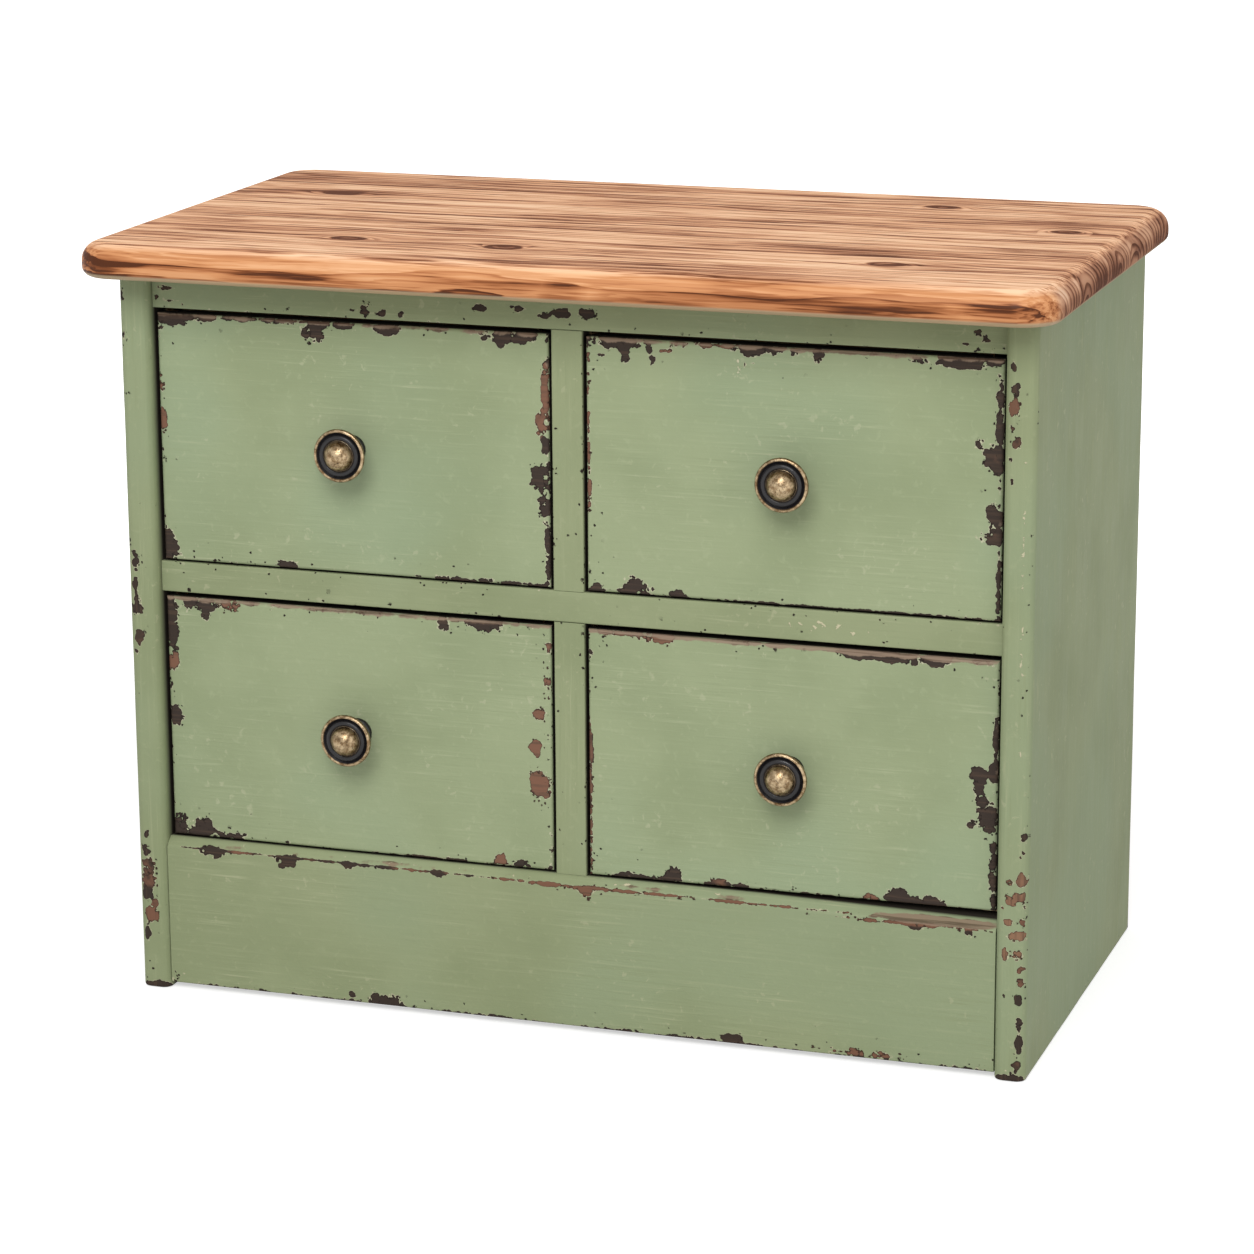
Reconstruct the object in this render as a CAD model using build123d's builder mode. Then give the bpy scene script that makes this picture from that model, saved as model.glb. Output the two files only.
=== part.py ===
from build123d import *
import os

# A small chest of four drawers: painted pine carcass, stained pine top, brass knobs.
# Millimetres. +X is the chest's right as seen from the front, +Y the rear, +Z up.
# The origin is on the floor, under the middle of the top board.

# Carcass
carcass_width = 560  # over the two side panels
carcass_depth = 294  # side panels, front edge to rear edge
side_thickness = 19
side_round = 6  # rounded front edges of the side panels
round_share = 0.45  # most of a panel's thickness that each of its rounds may take
side_ease = 1.5  # eased feet and rear corners of the side panels
opening_height = 155  # each drawer opening
rail_height = 19  # middle rail, lower and middle rear rails, runners
rail_depth = 40  # front rails and dividers, front to rear
rail_ease = 1  # eased front edges of the rails and dividers
top_rail_height = 22  # front and rear rails and kickers under the top
divider_width = 19
frame_setback = 9  # rails and dividers behind the side panels' front edges

# Plinth
plinth_top = 97  # floor of the lower drawer openings
plinth_clearance = 3.5  # plinth's lower edge above the floor
plinth_thickness = 18
plinth_setback = 3  # plinth's face behind the side panels' front edges
plinth_bevel_height = 4.5
plinth_ease = 1.2
glue_block_leg = 28
glue_block_height = 60

# Top board
top_side_overhang = 16
front_overhang = 32
rear_overhang = 11
top_thickness = 21
top_corner_radius = 25  # in plan
top_lower_round = 6
top_edge_flat = 3  # upright band between the two rounds of the edge

# Rear of the carcass
back_thickness = 4
back_rebate = 9  # how far the back panel reaches into each side panel
back_floor_gap = 20
panel_gap = 0.5  # a panel's edge to the end of its groove or rebate
rear_rail_depth = 30

# Drawer runners, guides and stops
runner_width = 24
centre_runner_width = 64
guide_height = 16
stop_height = 20
stop_depth = 14  # back panel to the stop's front face
stop_gap = 0.3
running_gap = 0.3  # drawer box above its runners

# Drawers
front_thickness = 18
front_recess = 0.5  # drawer face behind the rails' faces
front_side_gap = 2
front_top_gap = 3
front_bottom_gap = 1
front_ease = 2
box_thickness = 10  # drawer sides and back
box_lip = 8  # what the rebates leave of the front's thickness at its ends
box_top_clearance = 17  # drawer sides below the head of the opening
box_back_drop = 4  # drawer back below the drawer sides
bottom_thickness = 4
bottom_height = 8  # groove above the lower edge of the drawer sides
groove_depth = 5
groove_gap = 0.2

# Knobs and their screws
knob_base_radius = 10
knob_base_height = 1.8
knob_neck_radius = 5.8
knob_neck_height = 8.5
knob_rim_radius = 16
knob_rim_height = 19.5  # widest part of the rim above the drawer face
knob_rim_bead = 1.6  # radius of the rim's rounded edge
knob_groove_depth = 1.6
knob_ring_radius = 12.6  # outer foot of the low ring between the rim and the dome
knob_dome_radius = 9.2
knob_dome_base = 20.6
knob_height = 28
knob_screw_radius = 2
knob_screw_bite = 9  # length of the screw inside the knob
knob_screw_head_radius = 4
knob_screw_head_height = 2.4
knob_hole_gap = 0.25  # round the screw in the drawer front

# Fastenings
dowel_radius = 4
dowel_tail = 16  # dowel's length in the piece whose end it holds
dowel_cover = 5  # wood left at the end of the hole in the other piece
dowel_end_gap = 0.5
dowel_inset = 11  # dowel's axis to the edge of a rail
plinth_dowel_inset = 24
fit_gap = 0.05  # round dowels, screws and nails
screw_radius = 2
screw_head_radius = 4
screw_head_height = 2
screw_bite = 12  # length of a screw in the piece that it is driven into
top_screw_offset = 130  # screws in the front and rear top rails, from the middle
runner_screw_inset = 35
nail_radius = 0.8
nail_length = 20
nail_head_radius = 1.9
nail_head_height = 0.7
nail_inset = 36  # outermost nails to the ends of the rear rails
nails_per_rail = 4

# Plan positions
half_width = carcass_width / 2
inner_x = half_width - side_thickness  # inside faces of the side panels
top_width = carcass_width + 2 * top_side_overhang
top_depth = carcass_depth + front_overhang + rear_overhang
front_y = front_overhang - top_depth / 2  # front edges of the side panels
rear_y = front_y + carcass_depth
frame_y = front_y + frame_setback
frame_rear_y = frame_y + rail_depth
plinth_y = front_y + plinth_setback
plinth_rear_y = plinth_y + plinth_thickness
back_y = rear_y - back_thickness  # inside face of the back panel
rear_rail_y = back_y - rear_rail_depth
drawer_y = frame_y + front_recess
drawer_rear_y = back_y - stop_depth - stop_gap
divider_x = divider_width / 2
centre_x = centre_runner_width / 2
runner_x = inner_x - runner_width

# Levels
middle_rail_z = plinth_top + opening_height
upper_floor_z = middle_rail_z + rail_height
top_rail_z = upper_floor_z + opening_height
carcass_height = top_rail_z + top_rail_height

# The pieces that come in pairs
hands = {"left": -1, "right": 1}
floors = {"lower": plinth_top, "upper": upper_floor_z}
rear_levels = {
    "bottom": (plinth_top - rail_height, plinth_top),
    "middle": (middle_rail_z, upper_floor_z),
    "top": (top_rail_z, carcass_height),
}

upright = (Align.CENTER, Align.CENTER, Align.MIN)
hanging = (Align.CENTER, Align.CENTER, Align.MAX)

os.makedirs("parts", exist_ok=True)


def save(piece, name):
    piece.part.label = name
    export_step(piece.part, f"parts/{name}.step")


# Adds a square-edged block to the part being built, or cuts one out of it
def block(x_span, y_span, z_span, mode=Mode.ADD):
    with BuildSketch(Plane.XY.offset(z_span[0])) as outline:
        with Locations((sum(x_span) / 2, sum(y_span) / 2)):
            Rectangle(abs(x_span[1] - x_span[0]), abs(y_span[1] - y_span[0]))
    extrude(outline.sketch, amount=z_span[1] - z_span[0], mode=mode)


# Each dowel is a plane at its joint, pointing into the piece that it enters, and its depth there
end_dowels = []
rail_dowel_ys = (frame_y + dowel_inset, frame_rear_y - dowel_inset)
plinth_dowel_zs = (plinth_clearance + plinth_dowel_inset, plinth_top - plinth_dowel_inset)
rail_mid_zs = (top_rail_z + top_rail_height / 2, middle_rail_z + rail_height / 2)
dowel_points = [(y, z) for y in rail_dowel_ys for z in rail_mid_zs]
dowel_points += [(plinth_y + plinth_thickness / 2, z) for z in plinth_dowel_zs]
dowel_points += [(rear_rail_y + rear_rail_depth / 2, sum(span) / 2) for span in rear_levels.values()]
for hand in hands.values():
    for y, z in dowel_points:
        seat = Plane(origin=(hand * inner_x, y, z), x_dir=(0, 1, 0), z_dir=(hand, 0, 0))
        end_dowels.append((seat, side_thickness - dowel_cover))
divider_dowels = [
    (Plane(origin=(0, rail_dowel_ys[1], top_rail_z), z_dir=(0, 0, 1)), top_rail_height - dowel_cover),
    (Plane(origin=(0, rail_dowel_ys[0], upper_floor_z), z_dir=(0, 0, -1)), rail_height - dowel_cover),
    (Plane(origin=(0, rail_dowel_ys[1], middle_rail_z), z_dir=(0, 0, 1)), rail_height - dowel_cover),
    (Plane(origin=(0, rail_dowel_ys[1], plinth_top), z_dir=(0, 0, -1)), rail_height - dowel_cover),
]


def dowel_holes(dowels):
    for seat, depth in dowels:
        with Locations(seat.offset(-dowel_tail - dowel_end_gap)):
            length = dowel_tail + depth + 2 * dowel_end_gap
            Cylinder(dowel_radius + fit_gap, length, align=upright, mode=Mode.SUBTRACT)


# Each screw is a plane at its head's face, pointing the way it is driven
kicker_mid_y = (frame_rear_y + rear_rail_y) / 2
rail_screw_ys = (frame_y + rail_depth / 2, rear_rail_y + rear_rail_depth / 2)
top_screw_points = [(side * top_screw_offset, y) for side in hands.values() for y in rail_screw_ys]
top_screw_points += [(side * (inner_x + runner_x) / 2, kicker_mid_y) for side in hands.values()]
top_screw_points += [(0, kicker_mid_y)]
top_screw_seats = [Plane(origin=(x, y, top_rail_z), z_dir=(0, 0, 1)) for x, y in top_screw_points]
runner_screw_ys = (frame_rear_y + runner_screw_inset, rear_rail_y - runner_screw_inset)
runner_screw_seats = [
    Plane(origin=(hand * runner_x, y, floor - rail_height / 2), x_dir=(0, 1, 0), z_dir=(hand, 0, 0))
    for hand in hands.values()
    for floor in floors.values()
    for y in runner_screw_ys
]


# Countersunk screws through a board of the given thickness, or the holes for them
def countersunk(seats, board, gap=0.0, mode=Mode.ADD):
    with Locations(*seats):
        Cylinder(screw_radius + gap, board + screw_bite + gap, align=upright, mode=mode)
        Cone(screw_head_radius + gap, screw_radius + gap, screw_head_height, align=upright, mode=mode)


# Each nail is a plane on the back panel's rear face, pointing into the panel
nail_spacing = 2 * (inner_x - nail_inset) / (nails_per_rail - 1)
nail_seats = [
    Plane(origin=((i - (nails_per_rail - 1) / 2) * nail_spacing, rear_y, sum(span) / 2), z_dir=(0, -1, 0))
    for span in rear_levels.values()
    for i in range(nails_per_rail)
]


def nail_holes():
    with Locations(*nail_seats):
        Cylinder(nail_radius + fit_gap, nail_length + fit_gap, align=upright, mode=Mode.SUBTRACT)


# Top board, with the screw holes in its underside
with BuildPart() as top_board:
    with BuildSketch(Plane.XY.offset(carcass_height)):
        RectangleRounded(top_width, top_depth, top_corner_radius)
    extrude(amount=top_thickness)
    rims = top_board.edges().group_by(Axis.Z)
    fillet(rims[-1], top_thickness - top_lower_round - top_edge_flat)
    fillet(rims[0], top_lower_round)
    countersunk(top_screw_seats, top_rail_height, fit_gap, Mode.SUBTRACT)
save(top_board, "top_board")

# Side panels, rebated at the rear for the back panel
for side, hand in hands.items():
    with BuildPart() as side_panel:
        block((hand * inner_x, hand * half_width), (front_y, rear_y), (0, carcass_height))
        front_edges = side_panel.edges().filter_by(Axis.Z).group_by(Axis.Y)[0]
        fillet(front_edges, min(side_round, round_share * side_thickness))
        rear_corner = side_panel.edges().filter_by(Axis.Z).group_by(Axis.Y)[-1].sort_by(Axis.X)
        chamfer(rear_corner[-1] if hand > 0 else rear_corner[0], side_ease)
        chamfer(side_panel.faces().sort_by(Axis.Z)[0].edges(), side_ease)
        rebate_x = (hand * inner_x, hand * (inner_x + back_rebate))
        block(rebate_x, (back_y, rear_y), (0, carcass_height), Mode.SUBTRACT)
        dowel_holes(end_dowels)
        countersunk(runner_screw_seats, runner_width, fit_gap, Mode.SUBTRACT)
    save(side_panel, f"side_panel_{side}")

# Back panel, nailed over the rear rails
with BuildPart() as back_panel:
    back_x = inner_x + back_rebate - panel_gap
    block((-back_x, back_x), (back_y, rear_y), (back_floor_gap, carcass_height))
    nail_holes()
save(back_panel, "back_panel")

# Front rails across the carcass
with BuildPart() as top_rail:
    block((-inner_x, inner_x), (frame_y, frame_rear_y), (top_rail_z, carcass_height))
    fillet(top_rail.edges().filter_by(Axis.X).group_by(Axis.Y)[0].sort_by(Axis.Z)[0], rail_ease)
    dowel_holes(end_dowels + divider_dowels)
    countersunk(top_screw_seats, top_rail_height, fit_gap, Mode.SUBTRACT)
save(top_rail, "top_rail")

with BuildPart() as middle_rail:
    block((-inner_x, inner_x), (frame_y, frame_rear_y), (middle_rail_z, upper_floor_z))
    fillet(middle_rail.edges().filter_by(Axis.X).group_by(Axis.Y)[0], rail_ease)
    dowel_holes(end_dowels + divider_dowels)
save(middle_rail, "middle_rail")

# Dividers between the drawer openings
for row, floor in floors.items():
    with BuildPart() as divider:
        block((-divider_x, divider_x), (frame_y, frame_rear_y), (floor, floor + opening_height))
        fillet(divider.edges().filter_by(Axis.Z).group_by(Axis.Y)[0], rail_ease)
        dowel_holes(divider_dowels)
    save(divider, f"divider_{row}")

# Plinth, bevelled from the line of the rails out to its own face
with BuildPart() as plinth_board:
    with BuildSketch(Plane.YZ.offset(-inner_x)):
        with BuildLine():
            Polyline(
                (plinth_y, plinth_clearance),
                (plinth_rear_y, plinth_clearance),
                (plinth_rear_y, plinth_top),
                (frame_y, plinth_top),
                (plinth_y, plinth_top - plinth_bevel_height),
                close=True,
            )
        make_face()
    extrude(amount=2 * inner_x)
    fillet(plinth_board.edges().filter_by(Axis.X).group_by(Axis.Y)[0], plinth_ease)
    dowel_holes(end_dowels)
save(plinth_board, "plinth_board")

with BuildPart() as plinth_glue_blocks:
    for hand in hands.values():
        with BuildSketch(Plane.XY.offset(plinth_clearance)):
            with BuildLine():
                Polyline(
                    (hand * inner_x, plinth_rear_y),
                    (hand * inner_x, plinth_rear_y + glue_block_leg),
                    (hand * (inner_x - glue_block_leg), plinth_rear_y),
                    close=True,
                )
            make_face()
        extrude(amount=glue_block_height)
save(plinth_glue_blocks, "plinth_glue_blocks")

# Rear rails, behind the runners
for level, span in rear_levels.items():
    with BuildPart() as rear_rail:
        block((-inner_x, inner_x), (rear_rail_y, back_y), span)
        dowel_holes(end_dowels)
        nail_holes()
        countersunk(top_screw_seats, top_rail_height, fit_gap, Mode.SUBTRACT)
    save(rear_rail, f"rear_rail_{level}")

# Runners under the drawers and the guides between neighbouring drawers
runner_front_ys = {"lower": plinth_rear_y, "upper": frame_rear_y}
for row, floor in floors.items():
    runner_y = (runner_front_ys[row], rear_rail_y)
    runner_z = (floor - rail_height, floor)
    for side, hand in hands.items():
        with BuildPart() as runner:
            block((hand * runner_x, hand * inner_x), runner_y, runner_z)
            countersunk(runner_screw_seats, runner_width, fit_gap, Mode.SUBTRACT)
        save(runner, f"runner_{row}_{side}")
    with BuildPart() as centre_runner:
        block((-centre_x, centre_x), runner_y, runner_z)
        dowel_holes(divider_dowels)
    save(centre_runner, f"runner_{row}_centre")
    with BuildPart() as guide:
        block((-divider_x, divider_x), (frame_rear_y, rear_rail_y), (floor, floor + guide_height))
    save(guide, f"guide_{row}")

# Kickers, which keep the upper drawers from tipping as they are drawn out
kicker_spans = {"left": (-inner_x, -runner_x), "centre": (-centre_x, centre_x), "right": (runner_x, inner_x)}
for place, x_span in kicker_spans.items():
    with BuildPart() as kicker:
        block(x_span, (frame_rear_y, rear_rail_y), rear_levels["top"])
        countersunk(top_screw_seats, top_rail_height, fit_gap, Mode.SUBTRACT)
    save(kicker, f"kicker_{place}")

# Stops, which the drawer sides meet as the drawers close
with BuildPart() as drawer_stops:
    for hand in hands.values():
        for floor in floors.values():
            stop_x = (hand * runner_x, hand * inner_x)
            block(stop_x, (back_y - stop_depth, back_y), (floor, floor + stop_height))
save(drawer_stops, "drawer_stops")

# Fastenings of the carcass
with BuildPart() as frame_dowels:
    for seat, depth in end_dowels + divider_dowels:
        with Locations(seat.offset(-dowel_tail)):
            Cylinder(dowel_radius, dowel_tail + depth, align=upright)
save(frame_dowels, "frame_dowels")

with BuildPart() as top_screws:
    countersunk(top_screw_seats, top_rail_height)
save(top_screws, "top_screws")

with BuildPart() as runner_screws:
    countersunk(runner_screw_seats, runner_width)
save(runner_screws, "runner_screws")

with BuildPart() as back_panel_nails:
    with Locations(*nail_seats):
        Cylinder(nail_radius, nail_length, align=upright)
        Cylinder(nail_head_radius, nail_head_height, align=hanging)
save(back_panel_nails, "back_panel_nails")

# Drawers
front_rear_y = drawer_y + front_thickness
box_front_y = drawer_y + box_lip
for row, floor in floors.items():
    front_z = (floor + front_bottom_gap, floor + opening_height - front_top_gap)
    box_z = (floor + running_gap, floor + opening_height - box_top_clearance)
    bottom_z = box_z[0] + bottom_height
    groove_z = (bottom_z, bottom_z + bottom_thickness + groove_gap)
    for side, hand in hands.items():
        drawer = f"drawer_{row}_{side}"
        # The drawer's ends, from the divider outwards
        near_x = hand * (divider_x + front_side_gap)
        far_x = hand * (inner_x - front_side_gap)
        near_wall_x = near_x + hand * box_thickness
        far_wall_x = far_x - hand * box_thickness
        near_groove_x = near_wall_x - hand * groove_depth
        far_groove_x = far_wall_x + hand * groove_depth
        middle_x = (near_x + far_x) / 2
        knob_plane = Plane(origin=(middle_x, drawer_y, sum(front_z) / 2), x_dir=(1, 0, 0), z_dir=(0, -1, 0))

        with BuildPart() as front:
            block((near_x, far_x), (drawer_y, front_rear_y), front_z)
            fillet(front.faces().sort_by(Axis.Y)[0].edges(), front_ease)
            block((near_x, near_wall_x), (box_front_y, front_rear_y), front_z, Mode.SUBTRACT)
            block((far_x, far_wall_x), (box_front_y, front_rear_y), front_z, Mode.SUBTRACT)
            groove_y = (front_rear_y - groove_depth, front_rear_y)
            block((near_wall_x, far_wall_x), groove_y, groove_z, Mode.SUBTRACT)
            with Locations(knob_plane):
                Hole(knob_screw_radius + knob_hole_gap)
        save(front, f"{drawer}_front")

        walls = {
            "inner_side": (near_x, near_wall_x, near_groove_x),
            "outer_side": (far_x, far_wall_x, far_groove_x),
        }
        for wall, (outside_x, inside_x, groove_x) in walls.items():
            with BuildPart() as box_side:
                block((outside_x, inside_x), (box_front_y, drawer_rear_y), box_z)
                block((groove_x, inside_x), (box_front_y, drawer_rear_y), groove_z, Mode.SUBTRACT)
            save(box_side, f"{drawer}_{wall}")

        with BuildPart() as box_back:
            back_z = (groove_z[1], box_z[1] - box_back_drop)
            block((near_wall_x, far_wall_x), (drawer_rear_y - box_thickness, drawer_rear_y), back_z)
        save(box_back, f"{drawer}_back")

        with BuildPart() as box_bottom:
            bottom_x = (near_groove_x + hand * panel_gap, far_groove_x - hand * panel_gap)
            bottom_y = (front_rear_y - groove_depth + panel_gap, drawer_rear_y)
            block(bottom_x, bottom_y, (bottom_z, bottom_z + bottom_thickness))
        save(box_bottom, f"{drawer}_bottom")

        # Knob, turned about the line that stands square on the middle of the drawer front
        with BuildPart() as knob:
            profile_plane = Plane(origin=knob_plane.origin, x_dir=(1, 0, 0), z_dir=(0, 0, 1))
            floor_y = -(knob_rim_height + knob_rim_bead - knob_groove_depth)
            bead_start = (knob_rim_radius - knob_rim_bead / 2, -knob_rim_height + knob_rim_bead)
            with BuildSketch(profile_plane):
                with BuildLine():
                    foot = Line((0, 0), (knob_base_radius, 0))
                    flange = Line(foot @ 1, (knob_base_radius, -knob_base_height))
                    neck = ThreePointArc(
                        flange @ 1,
                        (knob_neck_radius, -knob_neck_height),
                        (knob_base_radius, 2 * -knob_neck_height + knob_base_height),
                    )
                    flare = Line(neck @ 1, bead_start)
                    bead = ThreePointArc(
                        flare @ 1,
                        (knob_rim_radius, -knob_rim_height),
                        (knob_rim_radius - knob_rim_bead, -knob_rim_height - knob_rim_bead),
                    )
                    bead_inside = Line(bead @ 1, (knob_rim_radius - 2 * knob_rim_bead, floor_y))
                    groove = Line(bead_inside @ 1, (knob_ring_radius, floor_y))
                    ring = TangentArc(groove @ 1, (knob_dome_radius, -knob_dome_base), tangent=(0, -1))
                    dome = TangentArc((0, -knob_height), ring @ 1, tangent=(1, 0))
                    Line(dome @ 0, foot @ 0)
                make_face()
            revolve(axis=Axis(knob_plane.origin, (0, 1, 0)))
            with Locations(knob_plane):
                length = knob_screw_bite + fit_gap
                Cylinder(knob_screw_radius + fit_gap, length, align=upright, mode=Mode.SUBTRACT)
        save(knob, f"{drawer}_knob")

        with BuildPart() as knob_screw:
            with Locations(Plane(origin=(middle_x, front_rear_y, sum(front_z) / 2), z_dir=(0, -1, 0))):
                Cylinder(knob_screw_radius, front_thickness + knob_screw_bite, align=upright)
                Cylinder(knob_screw_head_radius, knob_screw_head_height, align=hanging)
        save(knob_screw, f"{drawer}_knob_screw")
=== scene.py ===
import math

import bmesh
import bpy
from mathutils import Euler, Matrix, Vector, noise


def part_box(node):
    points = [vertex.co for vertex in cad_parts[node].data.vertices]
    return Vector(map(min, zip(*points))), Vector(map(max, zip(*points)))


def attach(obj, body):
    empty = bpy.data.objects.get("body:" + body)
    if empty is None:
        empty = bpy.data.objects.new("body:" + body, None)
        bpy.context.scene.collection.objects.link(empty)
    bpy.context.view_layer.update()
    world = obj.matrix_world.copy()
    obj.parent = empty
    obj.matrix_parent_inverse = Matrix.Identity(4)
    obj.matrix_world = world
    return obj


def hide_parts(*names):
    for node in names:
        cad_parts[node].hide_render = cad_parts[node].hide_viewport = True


# Small drawer chest: worn green paint on the carcass, a scorched pine top, antiqued brass knobs.
# Metres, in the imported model's own frame: the front faces -Y and the floor is z = 0.
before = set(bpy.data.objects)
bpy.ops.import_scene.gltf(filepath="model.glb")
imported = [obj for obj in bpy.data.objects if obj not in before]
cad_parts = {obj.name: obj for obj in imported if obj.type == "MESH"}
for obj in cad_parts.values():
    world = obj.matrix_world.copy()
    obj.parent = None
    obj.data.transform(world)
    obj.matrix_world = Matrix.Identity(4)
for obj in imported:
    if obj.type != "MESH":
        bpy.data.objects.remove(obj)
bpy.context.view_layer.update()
scene = bpy.context.scene
scene.view_settings.view_transform = "Standard"
mm = 0.001


def feed(tree, socket, value):
    if isinstance(value, bpy.types.NodeSocket):
        tree.links.new(value, socket)
    else:
        socket.default_value = value


def addNode(tree, kind, inputs=None, **settings):
    node = tree.nodes.new(kind)
    for key, value in settings.items():
        setattr(node, key, value)
    for key, value in (inputs or {}).items():
        feed(tree, node.inputs[key], value)
    return node


def calc(tree, operation, a, b=0.0):
    return addNode(tree, "ShaderNodeMath", {0: a, 1: b}, operation=operation).outputs[0]


def times(tree, a, b):
    return calc(tree, "MULTIPLY", a, b)


def minus(tree, a, b):
    return calc(tree, "SUBTRACT", a, b)


def larger(tree, a, b):
    return calc(tree, "MAXIMUM", a, b)


def addUp(tree, first, *others):
    for other in others:
        first = calc(tree, "ADD", first, other)
    return first


def fade(tree, value, start, end, low=0.0, high=1.0):  # smooth step from start to end
    node = addNode(tree, "ShaderNodeMapRange", interpolation_type="SMOOTHSTEP")
    labels = ("Value", "From Min", "From Max", "To Min", "To Max")
    for label, setting in zip(labels, (value, start, end, low, high)):
        feed(tree, node.inputs[label], setting)
    return node.outputs[0]


def blendColour(tree, factor, a, b, mode="MIX"):
    node = addNode(tree, "ShaderNodeMix", data_type="RGBA", blend_type=mode, clamp_factor=True)
    feed(tree, node.inputs[0], factor)
    feed(tree, node.inputs[6], a)
    feed(tree, node.inputs[7], b)
    return node.outputs[2]


def grainNoise(tree, coords, scale, detail=2.0, rough=0.5, warp=0.0):
    inputs = {"Vector": coords, "Scale": scale, "Detail": detail, "Roughness": rough, "Distortion": warp}
    return addNode(tree, "ShaderNodeTexNoise", inputs).outputs[0]


def stretch(tree, coords, scale):  # lengthens or squeezes a pattern along each axis
    return addNode(tree, "ShaderNodeVectorMath", {0: coords, 1: scale}, operation="MULTIPLY").outputs[0]


def readAttribute(tree, name):
    return addNode(tree, "ShaderNodeAttribute", attribute_name=name).outputs["Fac"]


def newGroup(name, inputs, outputs):
    tree = bpy.data.node_groups.new(name, "ShaderNodeTree")
    for label, kind in inputs:
        tree.interface.new_socket(label, in_out="INPUT", socket_type=kind)
    for label, kind in outputs:
        tree.interface.new_socket(label, in_out="OUTPUT", socket_type=kind)
    return tree, tree.nodes.new("NodeGroupInput").outputs, tree.nodes.new("NodeGroupOutput").inputs


def placeGroup(tree, group, inputs):
    node = tree.nodes.new("ShaderNodeGroup")
    node.node_tree = group
    for key, value in inputs.items():
        feed(tree, node.inputs[key], value)
    return node.outputs


def newMaterial(name):
    material = bpy.data.materials.new(name)
    material.use_nodes = True
    tree = material.node_tree
    shader = tree.nodes["Principled BSDF"]
    coords = tree.nodes.new("ShaderNodeTexCoord").outputs["Object"]
    return material, tree, shader, coords


def addBump(tree, shader, height, depth):
    bump = addNode(tree, "ShaderNodeBump", {"Height": height, "Distance": depth, "Strength": 1.0})
    tree.links.new(bump.outputs[0], shader.inputs["Normal"])


# Aged paint: brush marks, chips down to the old coat with painted highlights on pale rims and painted
# shadow lines at their edges, rubbed edges, grime and painted shade in the gaps
paintColours = {
    "paint": (0.306, 0.352, 0.207, 1),
    "paintDeep": (0.266, 0.311, 0.178, 1),
    "paintPale": (0.385, 0.425, 0.265, 1),
    "paintCool": (0.284, 0.350, 0.218, 1),
    # pale of the painted highlight on chip rims, also used for scratches
    "rim": (0.540, 0.505, 0.360, 1),
    # cream of dabs and specks, and of painted highlights along lit edges
    "creamAndHighlight": (0.780, 0.690, 0.500, 1),
    "oldCoat": (0.045, 0.033, 0.027, 1),
    "oldBrown": (0.110, 0.070, 0.049, 1),
    # painted shadow: the dark line where the paint's edge would shade the chip
    "outline": (0.018, 0.013, 0.011, 1),
    "redWood": (0.195, 0.098, 0.064, 1),
    "tanWood": (0.275, 0.158, 0.098, 1),
    "rubbed": (0.270, 0.195, 0.140, 1),
    # near-black painted shade, with some grime, for the surfaces inside the gaps
    "grime": (0.030, 0.025, 0.020, 1),
    "raw": (0.600, 0.420, 0.235, 1),
    "rawDark": (0.430, 0.255, 0.125, 1),
}
paintPattern = {  # per metre
    "lobes": 95.0,  # chip shapes
    "flakes": 150.0,  # their scalloped outline, coarse and fine
    "bites": 340.0,
    "nibbles": 760.0,
    "crumbs": 700.0,
    "flecks": (430.0, 230.0),
}
wearLabels = ("Wear", "Warm", "Rub", "DabAndHighlight", "Grime", "Raw")


def scallops(tree, coords, scale, depth):  # round bites that meet in points
    away = addNode(tree, "ShaderNodeTexVoronoi", {"Vector": coords, "Scale": scale}).outputs["Distance"]
    return times(tree, minus(tree, 0.42, away), depth)


def scattered(tree, coords, scale, crowd, crumbs):  # small ragged dots, more of them where crowd is high
    cells = addNode(tree, "ShaderNodeTexVoronoi", {"Vector": coords, "Scale": scale}).outputs
    chance = addNode(tree, "ShaderNodeSeparateColor", {0: cells["Color"]}).outputs[0]
    dot = fade(tree, addUp(tree, cells["Distance"], times(tree, crumbs, 0.9)), 0.78, 0.70)
    return times(tree, dot, fade(tree, minus(tree, crowd, chance), 0.0, 0.02))


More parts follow.
